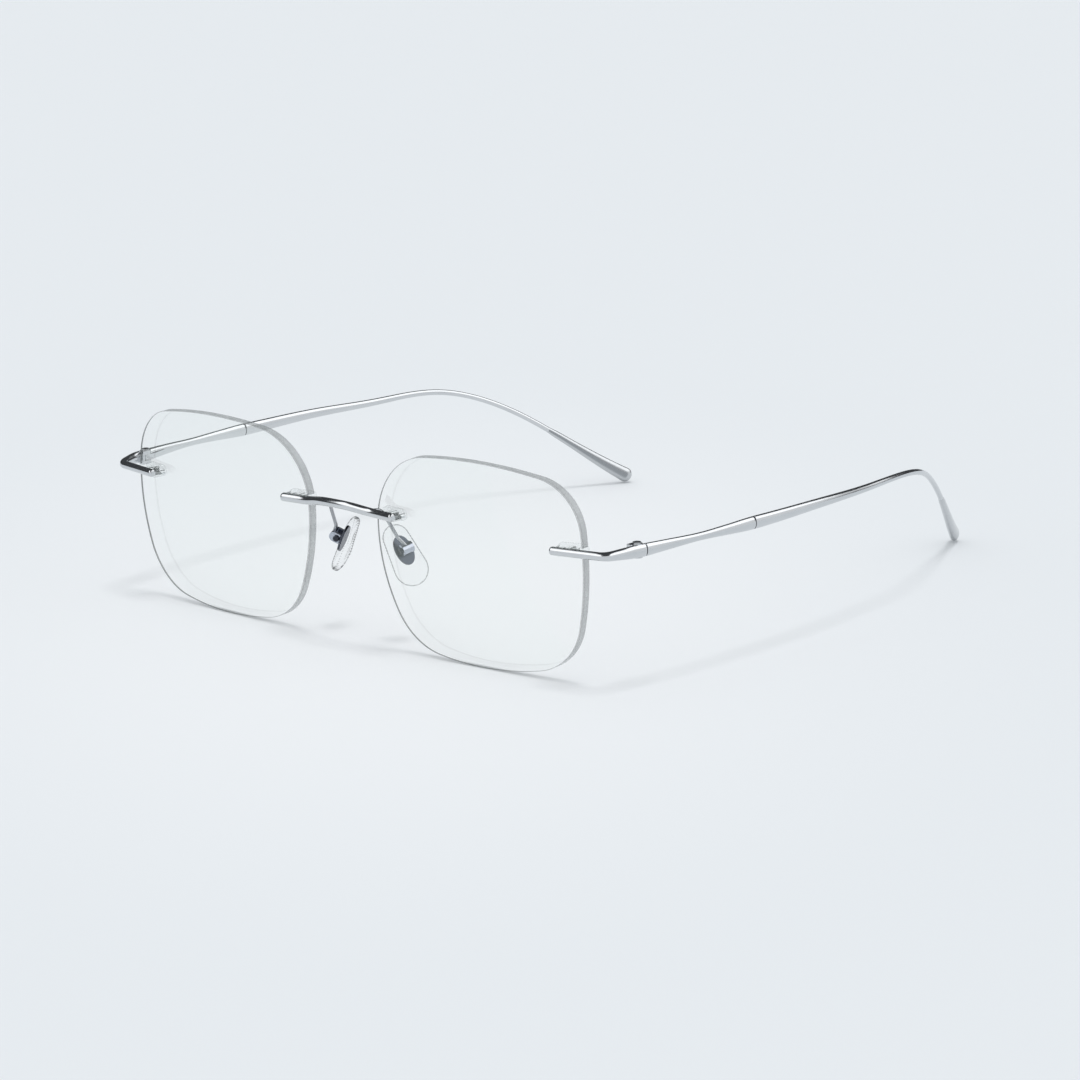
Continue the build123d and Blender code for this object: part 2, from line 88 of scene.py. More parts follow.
# Bridge
BRIDGE_RADIUS = 0.9
BRIDGE_OUTER_REACH = 3.1
BRIDGE_INNER_REACH = 4.6
BRIDGE_SHOULDER = (4.2, -1.3, 29.5)
BRIDGE_BENDS = (6.0, 9.0, 9.0, 6.0)
BRIDGE_SOFTENING = 2.4
SOFTENING_STEP = 0.1
SOFTENING_SAMPLES = 41
ROD_END_ROUND = 0.55

# End pieces. A section gives its share of the path, then the oval's width and height there.
END_ROD_REACH = 3.6
END_ROD_WIDTH = 1.7
END_ROD_STEP = 0.2
END_CORNER = (68.3, 3.75, 27.45)
END_SHOULDER = (69.75, 8.6, 27.5)
END_BUTT = (70.3, 13.0, 27.4)
END_BENDS = (2.8, 12.0)
END_SECTIONS = (
    (0.0, END_ROD_WIDTH, END_ROD_WIDTH),
    (0.50, END_ROD_WIDTH, END_ROD_WIDTH),
    (0.62, 1.73, 1.95),
    (0.74, 1.76, 2.30),
    (0.86, 1.80, 2.56),
    (1.0, 1.80, 2.66),
)

# Temples. A section gives its distance from the hinge butt, then the oval's width and height.
BUTT_GAP = 0.22
BUTT_ROUND = 0.12
COLLAR_AT = 31.0
COLLAR_HEIGHT = 2.7
TEMPLE_ROUTE = (
    (70.3, 13.0, 27.4),
    (71.9, 30.8, 27.3),
    (72.2, 48.3, 27.0),
    (71.8, 65.9, 26.9),
    (70.1, 83.8, 26.5),
    (67.2, 102.3, 25.7),
    (61.5, 115.5, 20.8),
    (54.9, 128.3, 12.0),
    (47.3, 142.2, 1.5),
)
TEMPLE_START_HEADING = (0.137, 0.991, 0.008)
TEMPLE_END_HEADING = (-0.406, 0.762, -0.504)
TEMPLE_PATH_POINTS = 6000
TEMPLE_SECTIONS = (
    (0.0, 1.8, 2.66),
    (6.0, 1.6, 2.20),
    (15.0, 1.45, 1.66),
    (23.0, 1.60, 2.15),
    (COLLAR_AT, 1.8, COLLAR_HEIGHT),
    (38.0, 1.75, 2.55),
    (52.0, 1.60, 2.10),
    (68.0, 1.40, 1.60),
    (84.0, 1.20, 1.30),
    (100.0, 1.15, 1.20),
    (124.0, 1.15, 1.20),
)
COLLAR_GROOVE_WIDTH = 0.25
COLLAR_GROOVE_DEPTH = 0.12
GROOVE_PLACES = np.array((-1.3, -1.0, -0.7, 0.7, 1.0, 1.3))  # shares of half its width
GROOVE_SHAPE = np.array((0, 0.2, 1, 1, 0.2, 0))  # shares of its depth there
GROOVE_FLOOR = 0.45  # how far from its middle the groove gets painted shade, as a share of its width
TIP_SECTIONS = (
    (118.0, 1.40, 1.45),
    (125.0, 1.60, 1.85),
    (132.0, 1.85, 2.50),
    (140.2, 2.15, 3.30),
)
TIP_CAP_REACH = 1.6
TIP_CAP_STEPS = 18
TIP_CAP_END = 0.3  # share of a step that is left open, so that the last ring isn't a point
TIP_LIP = 0.12  # how far the sleeve is drawn in where it meets the wire
TIP_LIP_REACH = 3.0

# Temple hinges
HINGE_X = 69.4
HINGE_Y = 11.85
KNUCKLE_RADIUS = 1.1
KNUCKLE_CLEARANCE = 0.12
HINGE_BOTTOM_Z = 26.0
OUTER_KNUCKLE_HEIGHT = 0.75
WASHER_SPACE = 0.12
MIDDLE_KNUCKLE_HEIGHT = 1.1
UPPER_BOTTOM = OUTER_KNUCKLE_HEIGHT + MIDDLE_KNUCKLE_HEIGHT + 2 * WASHER_SPACE
HINGE_TOP = UPPER_BOTTOM + OUTER_KNUCKLE_HEIGHT
LEAF_FRONT = -1.8
LEAF_WEB_REAR = -1.32
LEAF_INNER = -1.1
LEAF_OUTER = 0.1
REAR_ARM_OUTER = 0.3
SWING_REACH = 3.0
HINGE_HEAD_RADIUS = 0.85

# Nose pads. The pad's own frame has x across it, y up along it and z outwards from the nose.
PAD_CENTRE = (8.3, 9.9, 17.7)
PAD_UP = (-0.487, -0.092, 0.868)
PAD_OUT = (0.826, -0.373, 0.423)
PAD_LENGTH = 13.4
PAD_LOWER_RADIUS = 3.7
PAD_UPPER_RADIUS = 2.9
PAD_THICKNESS = 2.1
PAD_OUTER_CROWN = 0.98
PAD_CROWN_POWER = 2.8
PAD_SKIN_CROWN = 0.95 * PAD_THICKNESS / 2  # the ribs take up the rest
PAD_RINGS = 30
PAD_RING_EASE = 1.3  # above 1, which puts more rings near the rim
PAD_RIDGE = 0.25  # radius left at the upper end when the outline has shrunk to its ridge
PAD_RIDGE_RINGS = 12
PAD_EDGE_TURN = 0.86  # faces whose normal is less than this along the pad's axis are its edge
RIB_PITCH = 0.65
RIB_DEPTH = 0.05
PIVOT_UP = 0.9
ARM_SEAT_OUT = 3.25

# Pad arms
ARM_RADIUS = 0.36
ARM_ROUTE = (
    (7.1, -0.5, 28.7),
    (7.5, 4.4, 28.2),
    (8.7, 7.6, 21.9),
)
ARM_BENDS = (2.6, 1.6)
ARM_STEP = 0.12

AROUND = 48  # points round a rod
ROD_STEP = 0.25  # spacing of a rod's rings
SHARP_ANGLE = radians(38)


# ---------------------------------------- vectors, frames and paths


def unit(vector):
    vector = np.asarray(vector, float)
    return vector / np.linalg.norm(vector)


def at(x, y, z):
    """A point whose y is counted back from the lens fronts."""
    return np.array((x, y + FRONT_Y, z))


class Plane:
    """An origin and three square directions, for placing shapes as the CAD model does."""

    def __init__(self, origin, x_dir, z_dir):
        self.origin = np.asarray(origin, float)
        self.x_dir = unit(x_dir)
        self.z_dir = unit(z_dir)
        self.y_dir = np.cross(self.z_dir, self.x_dir)

    def place(self, local):
        """Points in this plane's frame, as points in the object's frame."""
        return self.origin + local @ np.array((self.x_dir, self.y_dir, self.z_dir))

    def shifted(self, x):
        return Plane(self.place((x, 0, 0)), self.x_dir, self.z_dir)


def hermite(knots, values, slopes, places):
    """A cubic curve through values at knots, with these slopes there."""
    places = np.clip(places, knots[0], knots[-1])
    span = np.clip(np.searchsorted(knots, places, side="right") - 1, 0, len(knots) - 2)
    width = knots[span + 1] - knots[span]
    t = (places - knots[span]) / width
    if values.ndim > 1:
        width = width[:, None]
        t = t[:, None]
    rise = values[span + 1] - values[span]
    return (
        values[span]
        + slopes[span] * width * t * (1 - t) ** 2
        + rise * t**2 * (3 - 2 * t)
        - slopes[span + 1] * width * t**2 * (1 - t)
    )


def eased(knots, values, places):
    """A smooth curve through the values that never swings past them."""
    rises = np.diff(values) / np.diff(knots)
    slopes = np.concatenate((rises[:1], np.zeros(len(values) - 2), rises[-1:]))
    for i in range(1, len(values) - 1):
        before, after = rises[i - 1], rises[i]
        if before * after > 0:
            slopes[i] = 2 * before * after / (before + after)
    return hermite(knots, values, slopes, places)


def clamped_spline(points, start_heading, end_heading, count):
    """Points along the smooth cubic curve through these points with these end headings."""
    points = np.asarray(points, float)
    gaps = np.linalg.norm(np.diff(points, axis=0), axis=1)
    knots = np.concatenate(((0,), np.cumsum(gaps)))
    last = len(points) - 1
    system = np.zeros((last + 1, last + 1))
    wanted = np.zeros((last + 1, 3))
    system[0, 0] = system[last, last] = 1
    wanted[0] = unit(start_heading)
    wanted[last] = unit(end_heading)
    rises = np.diff(points, axis=0) / gaps[:, None]
    for i in range(1, last):
        before, after = gaps[i - 1], gaps[i]
        system[i, i - 1 : i + 2] = after, 2 * (before + after), before
        wanted[i] = 3 * (after * rises[i - 1] + before * rises[i])
    slopes = np.linalg.solve(system, wanted)
    return hermite(knots, points, slopes, np.linspace(0, knots[-1], count))


def filleted(corners, radii, step=0.04):
    """Points along straight runs joined by arcs of these radii."""
    points = [corners[0]]
    for before, corner, after, radius in zip(corners, corners[1:], corners[2:], radii):
        back = unit(before - corner)
        onward = unit(after - corner)
        half_angle = acos(back @ onward) / 2
        centre = corner + unit(back + onward) * radius / sin(half_angle)
        start = corner + back * radius / tan(half_angle) - centre
        end = corner + onward * radius / tan(half_angle) - centre
        turn = pi - 2 * half_angle
        side = unit(end - (end @ unit(start)) * unit(start)) * radius
        steps = ceil(radius * turn / step)
        for i in range(steps + 1):
            angle = turn * i / steps
            points.append(centre + start * cos(angle) + side * sin(angle))
    points.append(corners[-1])
    return np.array(points)


def softened(points, reach):
    """A line drawn smooth: each place becomes the mean of the places within reach of it."""
    path = Path(points)
    marks = np.linspace(0, path.length, ceil(path.length / SOFTENING_STEP) + 1)
    smooth = []
    for mark in marks:
        half = min(reach, mark, path.length - mark)
        around = np.linspace(mark - half, mark + half, SOFTENING_SAMPLES)
        smooth.append(np.mean([path.inside(place) for place in around], axis=0))
    return np.array(smooth)


class Path:
    """A line of close points, read by distance along it. It goes on straight past its ends."""

    def __init__(self, points):
        self.points = points
        gaps = np.linalg.norm(np.diff(self.points, axis=0), axis=1)
        self.marks = np.concatenate(((0,), np.cumsum(gaps)))
        self.length = self.marks[-1]

    def inside(self, place):
        return np.array([np.interp(place, self.marks, axis) for axis in self.points.T])

    def heading(self, place, reach=0.05):
        low = min(max(place - reach, 0), self.length - 2 * reach)
        return unit(self.inside(low + 2 * reach) - self.inside(low))

    def position(self, place):
        within = min(max(place, 0), self.length)
        return self.inside(within) + self.heading(within) * (place - within)

    def section(self, place, straight_from=None):
        """The plane square to the path here, with its x level."""
        anchor = place if straight_from is None else min(place, straight_from)
        heading = self.heading(anchor)
        centre = self.position(anchor) + heading * (place - anchor)
        return Plane(centre, np.cross(heading, (0, 0, 1)), heading)


# ---------------------------------------- meshes


def add_object(name, data):
    added = bpy.data.objects.new(name, data)
    bpy.context.scene.collection.objects.link(added)
    return added


def mesh_object(name, points, faces, smooth=True):
    """A mesh object from points in millimetres."""
    mesh = bpy.data.meshes.new(name)
    mesh.from_pydata((np.asarray(points) * MM).tolist(), [], faces)
    mesh.validate()
    mesh.update()
    if smooth:
        mesh.shade_smooth()
        mesh.set_sharp_from_angle(angle=SHARP_ANGLE)
    return add_object(name, mesh)


def skin(rings):
    """Points and faces of a closed solid through rings of equal size, with a fan at each end."""
    count = len(rings[0])
    points = [point for ring in rings for point in ring]
    faces = []
    for i in range(len(rings) - 1):
        for j in range(count):
            k = (j + 1) % count
            faces.append((i * count + j, i * count + k, (i + 1) * count + k, (i + 1) * count + j))
    first, last = len(points), len(points) + 1
    points.append(np.mean(rings[0], axis=0))
    points.append(np.mean(rings[-1], axis=0))
    base = (len(rings) - 1) * count
    for j in range(count):
        k = (j + 1) % count
        faces.append((first, k, j))
        faces.append((last, base + j, base + k))
    return points, faces


def oval_ring(plane, width, height):
    angles = np.arange(AROUND) * 2 * pi / AROUND
    local = np.stack((np.cos(angles) * width / 2, np.sin(angles) * height / 2, 0 * angles), axis=1)
    return plane.place(local)


def lofted(name, path, stations, widths, heights, straight_from=None):
    """A rod of oval sections along a path."""
    rings = []
    for place, width, height in zip(stations, widths, heights):
        rings.append(oval_ring(path.section(place, straight_from), width, height))
    points, faces = skin(rings)
    return mesh_object(name, points, faces)


def section_sizes(sections, places, insets):
    """Widths and heights of a rod at these places, from its sections and drawn in by insets."""
    knots, widths, heights = np.array(sections).T
    return eased(knots, widths, places) - 2 * insets, eased(knots, heights, places) - 2 * insets


def rounded_ends(start, end, step, start_round, end_round, steps=7):
    """Stations along a rod and how far each is drawn in, with a quarter round at each end."""
    angles = pi / 2 * np.arange(1, steps + 1) / steps
    low, high = start + start_round, end - end_round
    middle = np.linspace(low, high, ceil((high - low) / step) + 1)
    first = low - start_round * np.sin(angles[::-1])
    last = high + end_round * np.sin(angles)
    drawn_in = 1 - np.cos(angles)
    insets = (start_round * drawn_in[::-1], 0 * middle, end_round * drawn_in)
    return np.concatenate((first, middle, last)), np.concatenate(insets)


def prism(name, plane, outline, near, far):
    """A block with this outline in a plane's frame, from one height to another."""
    rings = []
    for height in (near, far):
        rings.append([plane.place((x, y, height)) for x, y in outline])
    points, faces = skin(rings)
    return mesh_object(name, points, faces, smooth=False)


def circle(radius, count=64):
    angles = [2 * pi * i / count for i in range(count)]
    return [(radius * cos(angle), radius * sin(angle)) for angle in angles]


def rectangle(low_x, low_y, high_x, high_y):
    return [(low_x, low_y), (high_x, low_y), (high_x, high_y), (low_x, high_y)]


def cut(piece, cutters):
    """Takes the cutters away from the piece, and removes them."""
    for cutter in cutters:
        modifier = piece.modifiers.new("cut", "BOOLEAN")
        modifier.operation = "DIFFERENCE"
        modifier.solver = "EXACT"
        modifier.object = cutter
        graph = bpy.context.evaluated_depsgraph_get()
        result = bpy.data.meshes.new_from_object(piece.evaluated_get(graph))
        piece.modifiers.clear()
        piece.data = result
        bpy.data.objects.remove(cutter)
    piece.data.shade_smooth()
    piece.data.set_sharp_from_angle(angle=SHARP_ANGLE)


def mirrored(left, name):
    """The right-hand piece that matches a left-hand one."""
    mesh = left.data.copy()
    mesh.transform(Matrix.Scale(-1, 4, (1, 0, 0)))
    mesh.flip_normals()
    mesh.name = name
    return add_object(name, mesh)


def both_sides(left, stem):
    """A left-hand piece and its mirror image, each with the word for its side."""
    return (left, "left"), (mirrored(left, f"{stem}_right"), "right")


def finish_piece(piece, body, node, slot, *materials):
    """Gives a piece its materials, ties it to its body and hides the CAD node that it replaces. Slot is
    not used.
    """
    piece.data.materials.clear()
    for material in materials:
        piece.data.materials.append(material)
    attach(piece, body)
    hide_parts(node)


# ---------------------------------------- materials

NOISE_RANGE = (0.3, 0.7)  # where most values of a noise lie
TARNISH_SIZE = 6.0
POLISH_SIZE = 0.9
DRAW_LINE_DEPTH = 0.0006
SILVER_DARK = (0.60, 0.615, 0.63)
SILVER_LIGHT = (0.66, 0.675, 0.69)
ALONG_Y = (1.0, 0.06, 1.0)
ALONG_X = (0.06, 1.0, 1.0)
FLAKE_DARK = (0.53, 0.545, 0.56)
FLAKE_LIGHT = (0.60, 0.615, 0.63)
# colour and facing range of the painted dark reflection on the tip sleeves
PAINTED_REFLECTION_COLOUR = (0.30, 0.315, 0.33)
PAINTED_REFLECTION_RANGE = (0.17, 0.08)
COATING_COLOUR = (0.93, 1.0, 0.97, 1)
COATING_SHARE = 0.13  # how much of a bare lens's reflection its coating leaves
LENS_INDEX = 1.6
LENS_TINT = (0.998, 0.999, 0.996)
EDGE_TINT = (0.99, 0.994, 0.992)
WAVE_SCALE = 20  # the wave texture's own radians in each unit of its scale
RIB_CONTRAST = 0.75
# the pads' dark greys are a painted outline, shade for light bent at the silicone's edges
PAD_SILICONE = {
    "body": 0.01,
    "painted_outline_colours": ((0.05, 0.055, 0.058), (0.11, 0.116, 0.12)),
    "roughness": (0.12, 0.24),
    "bands": RIB_PITCH * PAD_UP[2],
}


def node_material(name):
    material = bpy.data.materials.new(name)
    material.use_nodes = True
    tree = material.node_tree
    tree.nodes.clear()
    output = tree.nodes.new("ShaderNodeOutputMaterial")
    return material, tree, output


def object_position(tree, stretch=(1, 1, 1)):
    """Places on the object in metres, scaled by stretch."""
    where = tree.nodes.new("ShaderNodeTexCoord")
    mapping = tree.nodes.new("ShaderNodeMapping")
    mapping.inputs["Scale"].default_value = stretch
    tree.links.new(where.outputs["Object"], mapping.inputs["Vector"])
    return mapping.outputs["Vector"]


def noise(tree, position, size_mm, detail=3.0):
    """Noise whose grain is about this many millimetres."""
    texture = tree.nodes.new("ShaderNodeTexNoise")
    texture.inputs["Scale"].default_value = 1 / (size_mm * MM)
    texture.inputs["Detail"].default_value = detail
    tree.links.new(position, texture.inputs["Vector"])
    return texture.outputs["Fac"]


def map_range(tree, value, source, target, interpolation):
    ramp = tree.nodes.new("ShaderNodeMapRange")
    ramp.interpolation_type = interpolation
    for name, number in zip(("From Min", "From Max", "To Min", "To Max"), (*source, *target)):
        ramp.inputs[name].default_value = number
    tree.links.new(value, ramp.inputs["Value"])
    return ramp.outputs["Result"]


def spread(tree, value, low, high):
    """A noise value spread between two levels."""
    return map_range(tree, value, NOISE_RANGE, (low, high), "LINEAR")


def mask(tree, value, low, high):
    """0 before low and 1 past high, with a soft step between. Low may be the greater."""
    return map_range(tree, value, (low, high), (0, 1), "SMOOTHSTEP")


def two_tone(tree, value, first, second):
    mix = tree.nodes.new("ShaderNodeMix")
    mix.data_type = "RGBA"
    mix.inputs["A"].default_value = (*first, 1)
    mix.inputs["B"].default_value = (*second, 1)
    tree.links.new(value, mix.inputs["Factor"])
    return mix.outputs["Result"]


def towards(tree, direction, facing):
    """How far a direction points towards another."""
    node = tree.nodes.new("ShaderNodeVectorMath")
    node.operation = "DOT_PRODUCT"
    node.inputs[1].default_value = tuple(facing)
    tree.links.new(direction, node.inputs[0])
    return node.outputs["Value"]


def blend_colour(tree, amount, under, over):
    """A flat colour laid over another result by amount."""
    mix = tree.nodes.new("ShaderNodeMix")
    mix.data_type = "RGBA"
    mix.inputs["B"].default_value = (*over, 1)
    tree.links.new(amount, mix.inputs["Factor"])
    tree.links.new(under, mix.inputs["A"])
    return mix.outputs["Result"]


def bump(tree, value, depth_mm):
    node = tree.nodes.new("ShaderNodeBump")
    node.inputs["Distance"].default_value = depth_mm * MM
    node.inputs["Strength"].default_value = 1.0
    tree.links.new(value, node.inputs["Height"])
    return node.outputs["Normal"]


def turned_away(tree):
    """How far a surface turns away from the eye, from 0 face on to 1 edge on."""
    weight = tree.nodes.new("ShaderNodeLayerWeight")
    weight.inputs["Blend"].default_value = 0.5
    return weight.outputs["Facing"]


def surface_shader(tree, colour, roughness, normal):
    shader = tree.nodes.new("ShaderNodeBsdfPrincipled")
    tree.links.new(colour, shader.inputs["Base Color"])
    tree.links.new(roughness, shader.inputs["Roughness"])
    tree.links.new(normal, shader.inputs["Normal"])
    return shader


def metal(name, dark, light, roughness, stretch=(1, 1, 1), grain_mm=0.12):
    """Bare metal with faint draw lines, a little tarnish and uneven polish."""
    material, tree, output = node_material(name)
    patches = noise(tree, object_position(tree), TARNISH_SIZE)
    polish = noise(tree, object_position(tree, stretch), POLISH_SIZE)
    lines = noise(tree, object_position(tree, stretch), grain_mm, detail=2.0)
    shader = surface_shader(
        tree,
        two_tone(tree, patches, dark, light),
        spread(tree, polish, *roughness),
        bump(tree, lines, DRAW_LINE_DEPTH),
    )
    shader.inputs["Metallic"].default_value = 1.0
    tree.links.new(shader.outputs["BSDF"], output.inputs["Surface"])
    return material


def lacquer(name):
    """Silver lacquer over a moulded sleeve: flake in the colour under a clear coat, and a painted
    dark reflection, darker where the sleeve faces the eye."""
    material, tree, output = node_material(name)
    position = object_position(tree)
    silver = two_tone(tree, noise(tree, position, size_mm=0.09, detail=1.0), FLAKE_DARK, FLAKE_LIGHT)
    # painted reflection: the sleeve is darkened where it faces the eye
    painted_reflection = mask(tree, turned_away(tree), *PAINTED_REFLECTION_RANGE)
    shader = surface_shader(
        tree,
        blend_colour(tree, painted_reflection, silver, PAINTED_REFLECTION_COLOUR),
        spread(tree, noise(tree, position, size_mm=1.2), 0.16, 0.24),
        bump(tree, noise(tree, position, size_mm=1.5), depth_mm=0.0008),
    )
    shader.inputs["Metallic"].default_value = 0.85
    shader.inputs["Coat Weight"].default_value = 0.35
    shader.inputs["Coat Roughness"].default_value = 0.08
    tree.links.new(shader.outputs["BSDF"], output.inputs["Surface"])
    return material


def plastic(name, dark, light, roughness):
    """Moulded opaque plastic with a fine skin."""
    material, tree, output = node_material(name)
    grain = noise(tree, object_position(tree), size_mm=0.2)
    shader = surface_shader(
        tree,
        two_tone(tree, grain, dark, light),
        spread(tree, grain, *roughness),
        bump(tree, grain, depth_mm=0.002),
    )
    tree.links.new(shader.outputs["BSDF"], output.inputs["Surface"])
    return material


def multiply(tree, value, factor, plus=0.0):
    node = tree.nodes.new("ShaderNodeMath")
    node.operation = "MULTIPLY_ADD"
    node.use_clamp = True
    node.inputs[1].default_value = factor
    node.inputs[2].default_value = plus
    tree.links.new(value, node.inputs[0])
    return node.outputs["Value"]


def product(tree, first, second):
    node = tree.nodes.new("ShaderNodeMath")
    node.operation = "MULTIPLY"
    tree.links.new(first, node.inputs[0])
    tree.links.new(second, node.inputs[1])
    return node.outputs["Value"]


def see_through(tree, output, amount, solid, tint):
    """Mixes a clear shader with a solid one by amount, 1 for all solid."""
    clear = tree.nodes.new("ShaderNodeBsdfTransparent")
    clear.inputs["Color"].default_value = (*tint, 1)
    mix = tree.nodes.new("ShaderNodeMixShader")
    tree.links.new(amount, mix.inputs["Fac"])
    tree.links.new(clear.outputs["BSDF"], mix.inputs[1])
    tree.links.new(solid, mix.inputs[2])
    tree.links.new(mix.outputs["Shader"], output.inputs["Surface"])


def lens_surface(name):
    """Coated clear resin: a weak reflection that grows at grazing angles, and a few smudges."""
    material, tree, output = node_material(name)
    gloss = tree.nodes.new("ShaderNodeBsdfGlossy")
    gloss.inputs["Color"].default_value = COATING_COLOUR
    smudges = noise(tree, object_position(tree), size_mm=9.0)
    tree.links.new(spread(tree, smudges, 0.01, 0.05), gloss.inputs["Roughness"])
    facing = tree.nodes.new("ShaderNodeFresnel")
    facing.inputs["IOR"].default_value = LENS_INDEX
    amount = multiply(tree, facing.outputs["Fac"], COATING_SHARE)
    see_through(tree, output, amount, gloss.outputs["BSDF"], LENS_TINT)
    return material


def by_side(tree, outside, inside):
    """One number on the outside of a surface and another where it is seen from within."""
    geometry = tree.nodes.new("ShaderNodeNewGeometry")
    mix = tree.nodes.new("ShaderNodeMix")
    mix.inputs["B"].default_value = inside
    tree.links.new(geometry.outputs["Backfacing"], mix.inputs["Factor"])
    tree.links.new(outside, mix.inputs["A"])
    return mix.outputs["Result"]


def lens_rim(name, dark, light, amount, roughness, inside):
    """The ground edge of a clear lens. It looks grey from outside, and lets light by inside. The grey is
    partly the ground edge's own and partly painted shade for light bent and reflected inside the lens.
    """
    material, tree, output = node_material(name)
    position = object_position(tree)
    grind = noise(tree, position, size_mm=0.35)
    shader = surface_shader(
        tree,
        two_tone(tree, noise(tree, position, size_mm=7.0), dark, light),
        spread(tree, grind, *roughness),
        bump(tree, grind, depth_mm=0.002),
    )
    fill = spread(tree, noise(tree, position, size_mm=5.0), *amount)
    see_through(tree, output, by_side(tree, fill, inside), shader.outputs["BSDF"], EDGE_TINT)
    return material


def clear_rubber(name, rim, body, tint, painted_outline_colours, roughness, turning, bands=None):
    """Clear silicone or soft plastic: see-through face on, with a painted grey outline, shade for light
    bent at its edges, where the surface turns away.
    Turning is how far it has turned where the grey begins and where it is full.
    Bands are moulded ribs this many millimetres apart, which break up the grey outline."""
    material, tree, output = node_material(name)
    position = object_position(tree)
    haze = noise(tree, position, size_mm=1.5)
    shader = surface_shader(
        tree,
        two_tone(tree, haze, *painted_outline_colours),
        spread(tree, haze, *roughness),
        bump(tree, noise(tree, position, size_mm=0.3), depth_mm=0.003),
    )
    # painted shade: grey laid over the clear body where the surface turns away
    amount = multiply(tree, mask(tree, turned_away(tree), *turning), rim, body)
    if bands:
        wave = tree.nodes.new("ShaderNodeTexWave")
        wave.bands_direction = "Z"
        wave.inputs["Scale"].default_value = 2 * pi / (WAVE_SCALE * bands * MM)
        wave.inputs["Distortion"].default_value = 0.6
        tree.links.new(position, wave.inputs["Vector"])
        ribbed = multiply(tree, wave.outputs["Fac"], RIB_CONTRAST, 1 - RIB_CONTRAST)
        amount = product(tree, amount, ribbed)
    see_through(tree, output, amount, shader.outputs["BSDF"], tint)
    return material


silver_temple = metal("silver_temple", SILVER_DARK, SILVER_LIGHT, (0.10, 0.18), ALONG_Y)
silver_bridge = metal("silver_bridge", SILVER_DARK, SILVER_LIGHT, (0.09, 0.16), ALONG_X)
silver_small = metal("silver_small", SILVER_DARK, SILVER_LIGHT, (0.10, 0.20))
# painted shade: dark metal laid in the collar's groove, where the recess is in shade
groove_painted_shade = metal("groove_painted_shade", (0.10, 0.10, 0.11), (0.18, 0.18, 0.19), (0.30, 0.45))
pin_metal = metal("pin_metal", (0.80, 0.82, 0.83), (0.88, 0.90, 0.91), (0.30, 0.40))
wire_metal = metal("wire_metal", (0.34, 0.35, 0.37), (0.42, 0.43, 0.45), (0.12, 0.22))
box_metal = metal("box_metal", (0.40, 0.43, 0.50), (0.52, 0.55, 0.62), (0.12, 0.22))
# painted reflection: the polished core gets a near-black colour for the dark surroundings it reflects
core_painted_reflection = metal("core_painted_reflection", (0.040, 0.046, 0.064), (0.075, 0.084, 0.110), (0.14, 0.26))
pad_screw_steel = metal("pad_screw_steel", (0.03, 0.032, 0.04), (0.06, 0.064, 0.075), (0.2, 0.3))
screw_steel = metal("screw_steel", (0.40, 0.41, 0.42), (0.56, 0.57, 0.58), (0.22, 0.36), grain_mm=0.06)
tip_lacquer = lacquer("tip_lacquer")
washer_nylon = plastic("washer_nylon", (0.62, 0.63, 0.62), (0.78, 0.79, 0.78), (0.45, 0.6))
lens_clear = lens_surface("lens_clear")
lens_wall = lens_rim(
    "lens_wall", (0.20, 0.215, 0.22), (0.27, 0.285, 0.29), (0.56, 0.66), (0.25, 0.4), inside=0.0
)
lens_bevel = lens_rim(
    "lens_bevel", (0.26, 0.275, 0.28), (0.34, 0.355, 0.36), (0.50, 0.60), (0.12, 0.2), inside=0.0
)
# painted shade: the rim strip is darker and nearly solid from inside, for the dark line at the lens rim
lens_strip_painted_shade = lens_rim(
    "lens_strip_painted_shade", (0.15, 0.16, 0.165), (0.20, 0.21, 0.215), (0.60, 0.70), (0.25, 0.4), inside=0.85
)
silicone = clear_rubber(
    "silicone", rim=0.80, tint=(0.994, 0.996, 0.996), turning=(0.70, 1.0), **PAD_SILICONE
)
silicone_edge = clear_rubber(
    "silicone_edge", rim=0.98, tint=(0.99, 0.992, 0.992), turning=(0.30, 0.65), **PAD_SILICONE
)
plug_clear = clear_rubber(
    "plug_clear",
    rim=0.35,
    body=0.03,
    tint=(0.985, 0.99, 0.99),
    painted_outline_colours=((0.60, 0.62, 0.62), (0.76, 0.78, 0.78)),
    roughness=(0.2, 0.3),
    turning=(0.25, 1.0),
)

# ---------------------------------------- lens and mount frames

lens_plane = Plane(
    at((LENS_WIDTH + LENS_GAP) / 2, 0, LENS_HEIGHT / 2),
    (cos(LENS_WRAP), sin(LENS_WRAP), 0),
    (
        sin(LENS_WRAP) * cos(LENS_TILT),
        -cos(LENS_WRAP) * cos(LENS_TILT),
        -cos(LENS_WRAP) * sin(LENS_TILT),
    ),
)


def front_sag(u, v):
    return LENS_FRONT_RADIUS - np.sqrt(LENS_FRONT_RADIUS**2 - u**2 - v**2)


def rear_sag(u, v):
    return LENS_CENTRE_THICKNESS + LENS_REAR_RADIUS - np.sqrt(LENS_REAR_RADIUS**2 - u**2 - v**2)


def mount_plane(u, v):
    """The plane that touches the lens's front at this place, with its x along the rods."""
    touch = lens_plane.place((u, v, -front_sag(u, v)))
    normal = unit(touch - lens_plane.place((0, 0, -LENS_FRONT_RADIUS)))
    return Plane(touch, np.cross((0, 0, 1), normal), normal)


end_mount = mount_plane(*END_MOUNT)
bridge_mount = mount_plane(*BRIDGE_MOUNT)

# ---------------------------------------- lenses


